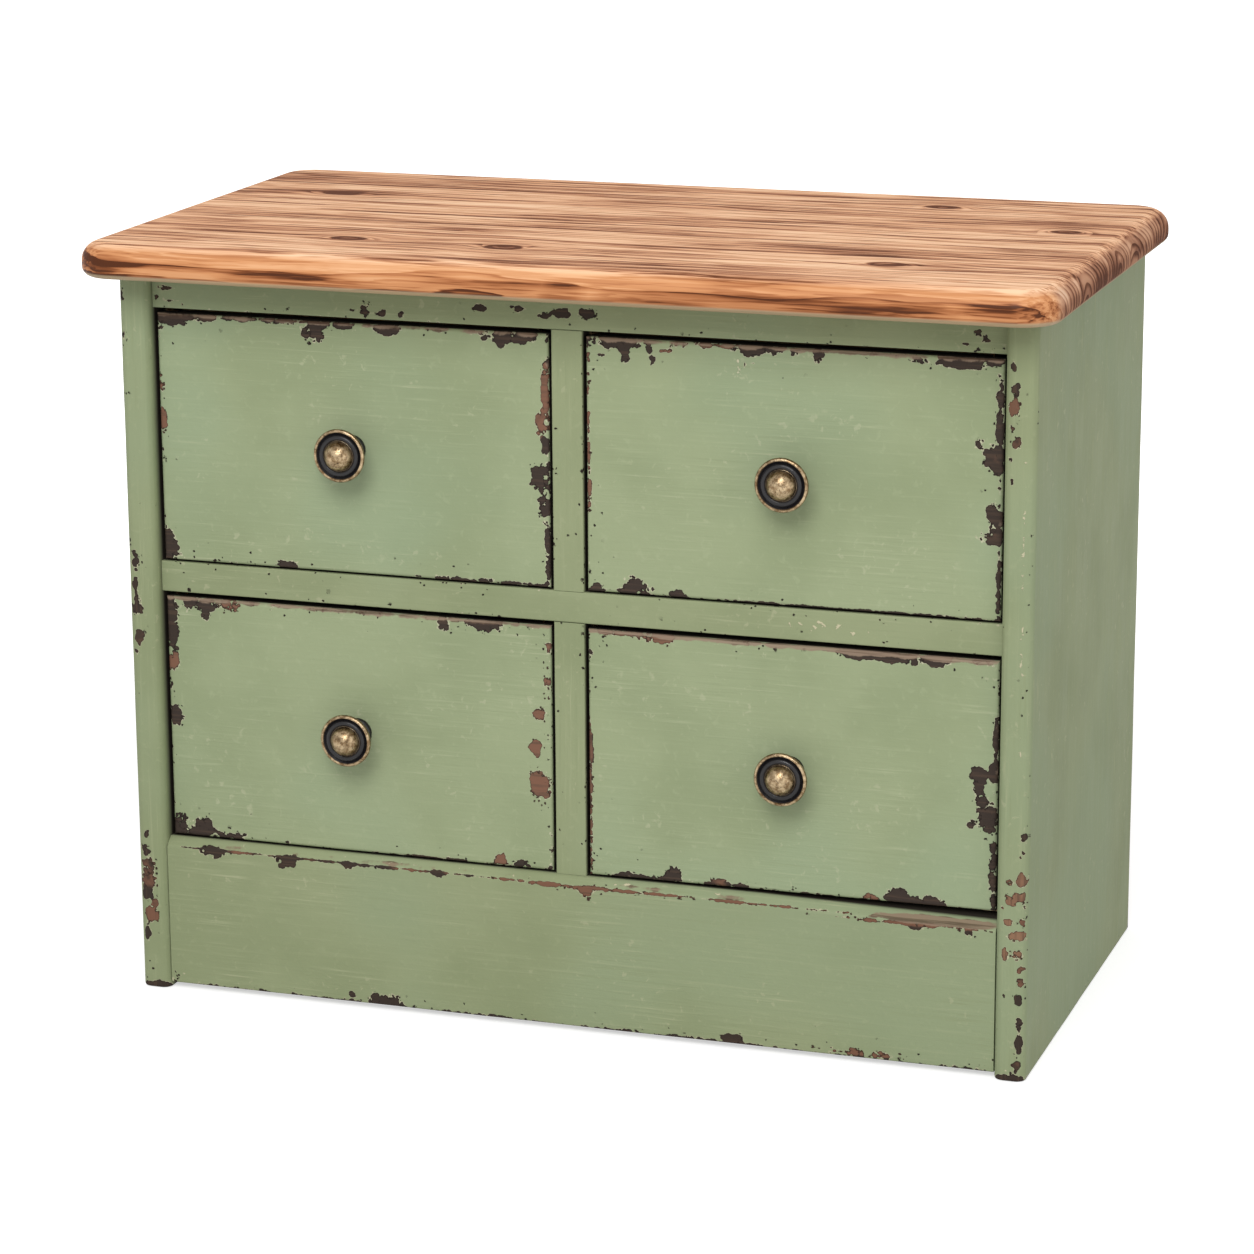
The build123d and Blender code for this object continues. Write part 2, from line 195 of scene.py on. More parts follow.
def makeAgedPaint():
    colour, size = paintColours, paintPattern
    inputs = [("Coords", "NodeSocketVector"), ("Strokes", "NodeSocketVector")]
    inputs += [(label, "NodeSocketFloat") for label in wearLabels]
    outputs = [("Colour", "NodeSocketColor")]
    outputs += [(label, "NodeSocketFloat") for label in ("Roughness", "Height")]
    tree, given, result = newGroup("agedPaint", inputs, outputs)
    coords, strokes, wear, warm = given["Coords"], given["Strokes"], given["Wear"], given["Warm"]
    lobes = minus(tree, grainNoise(tree, coords, size["lobes"], 2, 0.5, 0.3), 0.5)
    crumbs = grainNoise(tree, coords, size["crumbs"], 3, 0.6)
    bristle = grainNoise(tree, strokes, 1.0, 3, 0.6, 0.15)
    ragged = addUp(
        tree, times(tree, lobes, 1.5),
        scallops(tree, coords, size["flakes"], 0.42), scallops(tree, coords, size["bites"], 0.46),
        scallops(tree, coords, size["nibbles"], 0.20),
    )
    gone = addUp(tree, wear, times(tree, ragged, fade(tree, wear, 0.05, 0.40)))
    chip = fade(tree, gone, 0.485, 0.515)
    broken = fade(tree, grainNoise(tree, coords, 75, 2), 0.38, 0.54)
    # painted highlight: a pale rim on the paint just outside each chip, where its edge would catch the
    # light
    rim = times(tree, fade(tree, gone, 0.38, 0.47), broken)
    crowd = times(tree, wear, fade(tree, grainNoise(tree, coords, 38, 2), 0.40, 0.60, 0.05, 0.60))
    fleck = scattered(tree, coords, size["flecks"][0], crowd, crumbs)
    fewer = times(tree, crowd, 0.45)
    fleck = larger(tree, fleck, scattered(tree, coords, size["flecks"][1], fewer, crumbs))
    bare = larger(tree, chip, fleck)

    # what lies under the paint: dark old coat, red-brown wood, tan wood, with lines of grain
    patch = addUp(tree, warm, minus(tree, grainNoise(tree, coords, 70, 3, 0.6), 0.5))
    hatch = fade(tree, bristle, 0.48, 0.64)
    under = blendColour(tree, times(tree, hatch, 0.38), colour["oldCoat"], colour["oldBrown"])
    under = blendColour(tree, fade(tree, patch, 0.38, 0.66), under, colour["redWood"])
    under = blendColour(tree, fade(tree, patch, 1.20, 1.70), under, colour["tanWood"])
    lines = times(tree, hatch, fade(tree, patch, 0.4, 0.9, 0.0, 0.65))
    under = blendColour(tree, lines, under, colour["oldBrown"])
    # painted shadow: a dark line just inside each chip's edge, standing for the shade cast by the paint's
    # thickness
    outline = times(tree, fade(tree, gone, 0.66, 0.54), 0.80)
    under = blendColour(tree, outline, under, colour["outline"])

    # the coat itself
    cloud = grainNoise(tree, coords, 11, 3, 0.55)
    patchy = fade(tree, grainNoise(tree, coords, 19, 2), 0.44, 0.62, 0.42, 1.0)  # where brush marks show
    wrinkle = grainNoise(tree, coords, 210, 3, 0.55, 0.5)
    coat = blendColour(tree, fade(tree, cloud, 0.32, 0.62), colour["paintDeep"], colour["paint"])
    cool = fade(tree, grainNoise(tree, coords, 6, 2), 0.45, 0.65, 0.0, 0.6)
    coat = blendColour(tree, cool, coat, colour["paintCool"])
    for start, end, tone in ((0.53, 0.78, "paintPale"), (0.47, 0.24, "paintDeep")):  # crests, troughs
        mark = times(tree, fade(tree, bristle, start, end, 0.0, 0.65), patchy)
        coat = blendColour(tree, mark, coat, colour[tone])
    coat = blendColour(tree, fade(tree, wrinkle, 0.56, 0.74, 0.0, 0.25), coat, colour["paintPale"])
    # scratches take the pale colour of the painted rim highlight
    scratch = larger(tree, fade(tree, bristle, 0.66, 0.72, 0.0, 0.7), fade(tree, wrinkle, 0.62, 0.70))
    scratch = times(tree, scratch, fade(tree, patchy, 0.70, 1.0, 0.0, 0.20))
    coat = blendColour(tree, scratch, coat, colour["rim"])
    # the painted rim highlight round the chips
    coat = blendColour(tree, times(tree, rim, 0.75), coat, colour["rim"])
    coat = blendColour(tree, bare, coat, under)
    rubbed = fade(tree, addUp(tree, given["Rub"], lobes, times(tree, crumbs, 0.2)), 0.50, 0.68)
    bareWood = blendColour(tree, hatch, colour["rubbed"], colour["oldBrown"])
    coat = blendColour(tree, times(tree, rubbed, 0.9), coat, bareWood)
    # cream dabs and specks, and pale painted highlights where a dab is laid along a lit edge
    dabandhighlight = fade(tree, addUp(tree, given["DabAndHighlight"], times(tree, minus(tree, wrinkle, 0.5), 2.0)), 0.62, 0.70)
    coat = blendColour(tree, times(tree, dabandhighlight, 0.55), coat, colour["creamAndHighlight"])
    raw = blendColour(tree, fade(tree, bristle, 0.38, 0.62, 0.0, 0.8), colour["raw"], colour["rawDark"])
    coat = blendColour(tree, given["Raw"], coat, raw)  # never painted
    # the gaps are painted near-black: painted shade, with some grime
    feed(tree, result["Colour"], blendColour(tree, given["Grime"], coat, colour["grime"]))

    rough = fade(tree, bristle, 0.3, 0.8, 0.54, 0.68)
    dull = times(tree, larger(tree, bare, given["Grime"]), 0.18)
    feed(tree, result["Roughness"], addUp(tree, rough, dull))
    relief = times(tree, times(tree, bristle, patchy), 0.6)
    relief = addUp(tree, relief, times(tree, wrinkle, 0.45), times(tree, dabandhighlight, 0.5))
    feed(tree, result["Height"], minus(tree, relief, times(tree, bare, 0.8)))
    return tree


def paintMaterial(name, group, strokeScale, tint):
    material, tree, shader, coords = newMaterial(name)
    inputs = {"Coords": coords, "Strokes": stretch(tree, coords, strokeScale)}
    for label in wearLabels:
        inputs[label] = readAttribute(tree, label.lower())
    paint = placeGroup(tree, group, inputs)
    feed(tree, shader.inputs["Base Color"], blendColour(tree, 1.0, paint["Colour"], tint, "MULTIPLY"))
    feed(tree, shader.inputs["Roughness"], paint["Roughness"])
    shader.inputs["Specular IOR Level"].default_value = 0.10
    addBump(tree, shader, paint["Height"], 0.42 * mm)
    return material


# Pine: growth rings about a pith line under each stave, seen as streaks, arches and end-grain arcs
def makePineRings():
    labels = ("Late", "Fibre", "Band", "Line", "Hair", "Scorch", "Pick")
    inputs = [("Coords", "NodeSocketVector")]
    inputs += [(label, "NodeSocketFloat") for label in ("Stave", "Spacing", "Swell")]
    tree, given, result = newGroup("pineRings", inputs, [(label, "NodeSocketFloat") for label in labels])
    coords = given["Coords"]

    def moved(place, step):
        return addNode(tree, "ShaderNodeVectorMath", {0: place, 1: step}, operation="ADD").outputs[0]

    def along(place, scale, detail, rough, warp=0.0):  # noise drawn out along the grain
        return grainNoise(tree, stretch(tree, place, scale), 1.0, detail, rough, warp)

    axes = addNode(tree, "ShaderNodeSeparateXYZ", {0: coords}).outputs
    index = calc(tree, "FLOOR", calc(tree, "ADD", calc(tree, "DIVIDE", axes[1], given["Stave"]), 0.5))
    chance = addNode(tree, "ShaderNodeTexWhiteNoise", {"W": index}, noise_dimensions="1D")
    pick = addNode(tree, "ShaderNodeSeparateColor", {0: chance.outputs["Color"]}).outputs
    local = minus(tree, axes[1], times(tree, index, given["Stave"]))
    shifted = moved(coords, chance.outputs["Color"])
    wander, sway = along(shifted, (1.5, 5, 5), 2, 0.5), along(shifted, (4.5, 30, 30), 2, 0.5)
    drift = addNode(tree, "ShaderNodeCombineXYZ", {1: times(tree, sway, 0.016)}).outputs[0]
    swayed = moved(shifted, drift)
    pithY = times(tree, minus(tree, pick[0], 0.5), 0.060)
    pithY = addUp(tree, pithY, times(tree, minus(tree, wander, 0.5), 0.022))
    pithZ = addUp(tree, times(tree, pick[1], 0.030), 0.012)
    across = minus(tree, local, pithY)
    above = addUp(tree, axes[2], pithZ)
    radius = calc(tree, "SQRT", addUp(tree, times(tree, across, across), times(tree, above, above)))
    radius = addUp(tree, radius, times(tree, minus(tree, sway, 0.5), 0.0035), given["Swell"])
    years = calc(tree, "DIVIDE", radius, given["Spacing"])
    slow = {"W": years, "Scale": 0.37, "Detail": 1.0}
    uneven = addNode(tree, "ShaderNodeTexNoise", slow, noise_dimensions="1D").outputs[0]
    season = calc(tree, "FRACT", addUp(tree, years, times(tree, uneven, 1.6)))
    found = {
        "Late": times(tree, fade(tree, season, 0.30, 0.88), fade(tree, season, 1.0, 0.93)),
        "Fibre": along(swayed, (14, 900, 900), 3, 0.6),
        "Band": along(swayed, (3.6, 58, 58), 3, 0.6, 0.3),
        "Line": along(swayed, (8.0, 200, 200), 3, 0.6, 0.25),
        "Hair": along(swayed, (14, 520, 520), 2, 0.6, 0.2),
        "Scorch": along(swayed, (6.0, 28, 28), 4, 0.65, 0.5),
        "Pick": pick[2],
    }
    for label in labels:
        feed(tree, result[label], found[label])
    return tree


topFinish = {
    "stave": 0.0674, "spacing": 0.0046, "endSpacing": 0.0064,
    # from bare to burnt, on the flat and round the varnished edge
    "face": [
        (0.00, (0.970, 0.660, 0.430, 1)), (0.30, (0.800, 0.455, 0.265, 1)),
        (0.55, (0.560, 0.275, 0.150, 1)), (0.80, (0.300, 0.122, 0.064, 1)),
        (1.00, (0.120, 0.042, 0.021, 1)),
    ],
    "edge": [
        (0.00, (0.800, 0.455, 0.245, 1)), (0.30, (0.610, 0.275, 0.118, 1)),
        (0.60, (0.400, 0.148, 0.056, 1)), (0.85, (0.195, 0.060, 0.020, 1)),
        (1.00, (0.085, 0.025, 0.009, 1)),
    ],
    "endTint": (0.86, 0.90, 0.98, 1),  # end grain is greyer
    "underside": (0.480, 0.370, 0.235, 1),
}


def toneRamp(tree, value, stops):
    node = addNode(tree, "ShaderNodeValToRGB", {0: value})
    elements = node.color_ramp.elements
    elements[0].color, elements[1].color = stops[0][1], stops[-1][1]
    for spot, colour in stops[1:-1]:
        elements.new(spot).color = colour
    return node.outputs[0]


def topMaterial(group, low, high):
    finish = topFinish
    material, tree, shader, coords = newMaterial("scorchedPine")
    spot = addNode(tree, "ShaderNodeSeparateXYZ", {0: coords}).outputs
    knot = readAttribute(tree, "knot")
    flow = readAttribute(tree, "flow")  # grain pushed aside by a knot
    pool = readAttribute(tree, "pool")  # varnish on the front edge
    bent = {0: spot[0], 1: minus(tree, spot[1], flow), 2: minus(tree, spot[2], high.z)}
    place = addNode(tree, "ShaderNodeCombineXYZ", bent).outputs[0]
    swell = times(tree, knot, 0.016)
    grain = {"Coords": place, "Stave": finish["stave"], "Spacing": finish["spacing"], "Swell": swell}
    wood = placeGroup(tree, group, grain)
    endWood = placeGroup(tree, group, grain | {"Spacing": finish["endSpacing"]})

    # varnish lies in streaks
    streaks = fade(tree, wood["Line"], 0.40, 0.62, 0.55, 1.00)
    streaks = addUp(tree, streaks, fade(tree, wood["Hair"], 0.42, 0.62, 0.0, 0.35))
    pool = times(tree, pool, streaks)

    # where on the board: round the front edge, low on it, round the ends, underneath
    turned = fade(tree, spot[2], high.z - 0.6 * mm, high.z - 4 * mm)
    front = times(tree, turned, fade(tree, spot[1], low.y + 22 * mm, low.y + 14 * mm))
    lower = times(tree, front, fade(tree, spot[2], high.z - 7 * mm, high.z - 11 * mm))
    outward = calc(tree, "ABSOLUTE", spot[0])
    ends = times(tree, turned, fade(tree, outward, high.x - 22 * mm, high.x - 15 * mm))
    under = fade(tree, spot[2], low.z + 4.0 * mm, low.z + 2.2 * mm)

    burnt = addUp(
        tree,
        fade(tree, wood["Band"], 0.43, 0.60, 0.0, 0.24), fade(tree, wood["Line"], 0.52, 0.58, 0.0, 0.36),
        fade(tree, wood["Hair"], 0.53, 0.59, 0.0, 0.32),
        fade(tree, wood["Scorch"], 0.50, 0.74, 0.0, 0.36),
        fade(tree, wood["Fibre"], 0.35, 0.75, 0.0, 0.12), times(tree, wood["Pick"], 0.06),
        times(tree, wood["Late"], fade(tree, wood["Band"], 0.32, 0.60, 0.08, 0.34)),
        fade(tree, knot, 0.44, 0.60, 0.0, 0.72), fade(tree, knot, 0.70, 0.96, 0.0, -0.30),
    )

    # the front edge: flame-shaped rings, and varnish that pooled low down
    flame = grainNoise(tree, stretch(tree, coords, (4.5, 24, 24)), 1.0, 2, 0.5)
    climb = addUp(tree, times(tree, spot[2], 70.0), times(tree, spot[1], 35.0))
    climb = addUp(tree, climb, times(tree, flame, 4.4), times(tree, wood["Line"], 0.6))
    flameRings = calc(tree, "FRACT", climb)
    flameDark = times(tree, fade(tree, flameRings, 0.55, 0.93), fade(tree, flameRings, 1.0, 0.95))
    flameLine = times(tree, fade(tree, flameRings, 0.84, 0.93), fade(tree, flameRings, 1.0, 0.97))
    blotch = grainNoise(tree, stretch(tree, coords, (8, 45, 45)), 1.0, 3, 0.6)
    edgeBurnt = addUp(
        tree, times(tree, burnt, 0.48), times(tree, pool, 0.50),
        times(tree, flameDark, addUp(tree, times(tree, pool, 0.72), 0.17)),
        times(tree, lower, fade(tree, blotch, 0.38, 0.62, 0.04, 0.34)),
        times(tree, flameLine, addUp(tree, times(tree, pool, 0.25), 0.13)),
    )
    endBurnt = addUp(
        tree, times(tree, endWood["Late"], 0.36), fade(tree, wood["Pick"], 0.2, 0.8, 0.14, 0.50),
        fade(tree, grainNoise(tree, coords, 30, 4, 0.6), 0.40, 0.62, 0.0, 0.36),
        fade(tree, spot[2], high.z - 6 * mm, high.z - 13 * mm, 0.0, 0.22),
    )
    faceBurnt = addUp(tree, burnt, times(tree, ends, minus(tree, endBurnt, burnt)))
    faceTone = toneRamp(tree, faceBurnt, finish["face"])
    faceTone = blendColour(tree, ends, faceTone, finish["endTint"], "MULTIPLY")
    tone = blendColour(tree, front, faceTone, toneRamp(tree, edgeBurnt, finish["edge"]))
    tone = blendColour(tree, times(tree, under, 0.85), tone, finish["underside"])
    feed(tree, shader.inputs["Base Color"], tone)
    rough = minus(tree, fade(tree, wood["Fibre"], 0.3, 0.8, 0.60, 0.72), times(tree, front, 0.16))
    feed(tree, shader.inputs["Roughness"], rough)
    shader.inputs["Specular IOR Level"].default_value = 0.02
    feed(tree, shader.inputs["Coat Weight"], times(tree, front, 0.18))
    shader.inputs["Coat Roughness"].default_value = 0.32
    grooves = addUp(tree, times(tree, wood["Line"], 0.6), times(tree, wood["Hair"], 0.4))
    addBump(tree, shader, grooves, 0.30 * mm)
    return material


plainWoods = {  # early wood, late wood, ring spacing, stave width
    "rawPine": ((0.640, 0.450, 0.255, 1), (0.400, 0.220, 0.098, 1), 0.0038, 0.31),
    "plywood": ((0.560, 0.405, 0.240, 1), (0.420, 0.275, 0.150, 1), 0.0130, 0.90),
    "beech": ((0.560, 0.370, 0.230, 1), (0.440, 0.265, 0.155, 1), 0.0030, 0.31),
}
grainTurns = {"x": (0, 0, 0), "y": (0, 0, math.radians(-90)), "z": (0, math.radians(90), 0)}


def woodMaterial(group, kind, grain):
    early, late, spacing, stave = plainWoods[kind]
    material, tree, shader, coords = newMaterial(f"{kind}_{grain}")
    turn = {"Vector": coords, "Rotation": grainTurns[grain]}
    turned = addNode(tree, "ShaderNodeMapping", turn).outputs[0]
    wood = placeGroup(tree, group, {"Coords": turned, "Stave": stave, "Spacing": spacing, "Swell": 0.0})
    tone = blendColour(tree, fade(tree, wood["Late"], 0.0, 1.0, 0.0, 0.75), early, late)
    tone = blendColour(tree, fade(tree, wood["Fibre"], 0.45, 0.8, 0.0, 0.35), tone, late)
    tone = blendColour(tree, fade(tree, wood["Band"], 0.55, 0.8, 0.0, 0.3), tone, late)
    feed(tree, shader.inputs["Base Color"], tone)
    feed(tree, shader.inputs["Roughness"], fade(tree, wood["Fibre"], 0.3, 0.8, 0.62, 0.78))
    addBump(tree, shader, wood["Fibre"], 0.12 * mm)
    return material


knobFinish = {
    "brass": (0.175, 0.112, 0.056, 1),
    "shine": (0.480, 0.365, 0.225, 1),
    "tarnish": (0.045, 0.033, 0.026, 1),
    "ring": (0.008, 0.007, 0.008, 1),  # blackened, no longer metal
}


def brassMaterial():
    finish = knobFinish
    material, tree, shader, coords = newMaterial("antiqueBrass")
    patina = readAttribute(tree, "patina")
    mottle = grainNoise(tree, coords, 300, 4, 0.65)
    speck = grainNoise(tree, coords, 1300, 2, 0.6)
    tone = blendColour(tree, fade(tree, mottle, 0.36, 0.66), finish["brass"], finish["shine"])
    tone = blendColour(tree, fade(tree, speck, 0.55, 0.68, 0.0, 0.75), tone, finish["tarnish"])
    darkened = addUp(tree, patina, times(tree, minus(tree, mottle, 0.5), 0.5))
    black = fade(tree, darkened, 0.30, 0.65)
    tone = blendColour(tree, black, tone, finish["ring"])
    feed(tree, shader.inputs["Base Color"], tone)
    feed(tree, shader.inputs["Metallic"], minus(tree, 1.0, black))
    shader.inputs["Specular IOR Level"].default_value = 0.38
    feed(tree, shader.inputs["Roughness"], fade(tree, mottle, 0.3, 0.7, 0.26, 0.40))
    addBump(tree, shader, addUp(tree, mottle, times(tree, speck, 0.5)), 0.10 * mm)
    return material


def steelMaterial():
    material, tree, shader, coords = newMaterial("screwSteel")
    streak = grainNoise(tree, coords, 600, 3, 0.6)
    tone = blendColour(tree, streak, (0.34, 0.33, 0.31, 1), (0.58, 0.57, 0.55, 1))
    feed(tree, shader.inputs["Base Color"], tone)
    shader.inputs["Metallic"].default_value = 1.0
    feed(tree, shader.inputs["Roughness"], fade(tree, streak, 0.3, 0.7, 0.28, 0.45))
    addBump(tree, shader, streak, 0.05 * mm)
    return material


agedPaint = makeAgedPaint()
pineRings = makePineRings()
paintCoats = {  # brush direction, and how the coat differs from that on the drawers
    "drawerPaint": ((18, 520, 520), (1, 1, 1, 1)),
    "railPaint": ((18, 520, 520), (0.91, 0.89, 0.86, 1)),
    "postPaint": ((520, 230, 18), (0.91, 0.89, 0.86, 1)),
}
paints = {name: paintMaterial(name, agedPaint, *coat) for name, coat in paintCoats.items()}
brass = brassMaterial()
steel = steelMaterial()
print("materials ready")


# Mesh helpers
def finishPiece(bm, name, material, body, node, values):
    bmesh.ops.recalc_face_normals(bm, faces=bm.faces[:])
    mesh = bpy.data.meshes.new(name)
    bm.to_mesh(mesh)
    bm.free()
    mesh.shade_smooth()
    mesh.set_sharp_from_angle(angle=math.radians(38))
    for label, rule in values.items():
        layer = mesh.attributes.new(label, "FLOAT", "POINT")
        layer.data.foreach_set("value", [rule(v.co) for v in mesh.vertices])
    piece = bpy.data.objects.new(name, mesh)
    scene.collection.objects.link(piece)
    mesh.materials.append(material)
    weighted = piece.modifiers.new("evenShading", "WEIGHTED_NORMAL")
    weighted.keep_sharp = True
    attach(piece, body)
    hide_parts(node)
    return piece


def prism(points, axis, start, end):  # an outline pushed along x, or along z
    bm = bmesh.new()
    corners = [(start, a, b) if axis == "x" else (a, b, start) for a, b in points]
    face = bm.faces.new([bm.verts.new(corner) for corner in corners])
    grown = bmesh.ops.extrude_face_region(bm, geom=[face])["geom"]
    push = (end - start, 0, 0) if axis == "x" else (0, 0, end - start)
    bmesh.ops.translate(bm, verts=[g for g in grown if isinstance(g, bmesh.types.BMVert)], vec=push)
    bmesh.ops.recalc_face_normals(bm, faces=bm.faces[:])
    return bm


def easeEdges(bm, test, radius, segments):
    edges = [e for e in bm.edges if test(e.verts[0].co, e.verts[1].co)]
    bmesh.ops.bevel(
        bm, geom=edges, offset=radius, offset_type="OFFSET", affect="EDGES",
        segments=segments, profile=0.5, material=-1,
    )


def sliceUp(bm, low, high, cells):
    for axis, cell in enumerate(cells):
        steps = max(1, round((high[axis] - low[axis]) / cell))
        normal = Vector([float(axis == k) for k in range(3)])
        for i in range(1, steps):
            point = Vector(low)
            point[axis] = low[axis] + (high[axis] - low[axis]) * i / steps
            everything = bm.verts[:] + bm.edges[:] + bm.faces[:]
            bmesh.ops.bisect_plane(bm, geom=everything, dist=0.01 * mm, plane_co=point, plane_no=normal)


def handWorked(bm, depth, scale):  # shallow unevenness, always inwards
    bm.normal_update()
    for v in bm.verts:
        dip = 0.5 + 0.5 * noise.noise(v.co * scale)
        v.co -= v.normal * depth * dip


def near(a, b):
    return abs(a - b) < 0.05 * mm


def bothAt(a, b, axis, value):
    return near(a[axis], value) and near(b[axis], value)


# Wear on a painted board. Edges name the two faces that meet. Spots, scuffs and dabs (some dabs are
# painted highlights) are placed from the board's left and top, in millimetres: across, down, half width,
# half height, strength, redness of wood.
edgeReach = 7 * mm
spotDepth = 14 * mm
spotSpread = 1.4  # how far a spot reaches, in half sizes
fleckReach = 22 * mm
rubReach = 4.8 * mm
innerSkin = 0.6 * mm  # unevenness allowed for on an inner face
grimeStart, grimeEnd = 1.2 * mm, 2 * mm  # how softly the grime and painted shade in the gaps begin and end


def ramp(value, start, end):
    return min(1.0, max(0.0, (value - start) / (end - start)))


def wearRules(low, high, look):
    sides = {}
    for axis, letter in enumerate("xyz"):
        sides["-" + letter], sides["+" + letter] = (axis, low), (axis, high)

    def faceGap(point, side):
        axis, corner = sides[side]
        return abs(point[axis] - corner[axis])

    def spotsAt(point, label):
        across, down = (point.x - low.x) / mm, (high.z - point.z) / mm
        back = max(0.0, point.y - low.y) / spotDepth
        for u, v, wide, tall, strength, *warm in look.get(label, []):
            away = ((across - u) / wide / spotSpread) ** 2 + back ** 2
            away += ((down - v) / tall / spotSpread) ** 2
            if away < 1:
                yield strength * (1 - away), warm[0] if warm else 0.0

    def wearAt(point):
        kept = 1.0
        for first, second, strength in look["edges"]:
            gap = faceGap(point, first) + faceGap(point, second)
            sharp = strength * max(0.0, 1 - gap / edgeReach)
            kept *= 1 - max(sharp, look.get("flecks", 0.09) * max(0.0, 1 - gap / fleckReach))
        for amount, warm in spotsAt(point, "spots"):
            kept *= 1 - min(1.0, amount)
        return 1 - kept

    def rubAt(point):
        most = max([amount for amount, warm in spotsAt(point, "scuffs")], default=0.0)
        for first, second, strength in look.get("rubs", []):
            gap = faceGap(point, first) + faceGap(point, second)
            most = max(most, strength * max(0.0, 1 - gap / rubReach))
        return most

    def warmAt(point):
        found = list(spotsAt(point, "spots"))
        weight = sum(amount for amount, warm in found)
        if weight < 0.05:
            return look["warm"]
        return sum(amount * warm for amount, warm in found) / weight

    def dabAndHighlightAt(point):
        return max([amount for amount, warm in spotsAt(point, "dabsAndHighlights")], default=0.0)

    def turnedIn(point):
        return "inner" not in look or faceGap(point, look["inner"]) < innerSkin

    def grimeAt(point):  # painted shade with grime: near-black a little way into the gaps, and gone further in
        start, end = look["grime"]
        depth = point.y - low.y
        dirty = ramp(depth, start, start + grimeStart) * ramp(depth, end + grimeEnd, end)
        return turnedIn(point) * dirty

    def rawAt(point):
        end = look["grime"][1]
        return turnedIn(point) * ramp(point.y - low.y, end, end + grimeEnd)

    return {"wear": wearAt, "warm": warmAt, "rub": rubAt, "dabandhighlight": dabAndHighlightAt, "grime": grimeAt, "raw": rawAt}


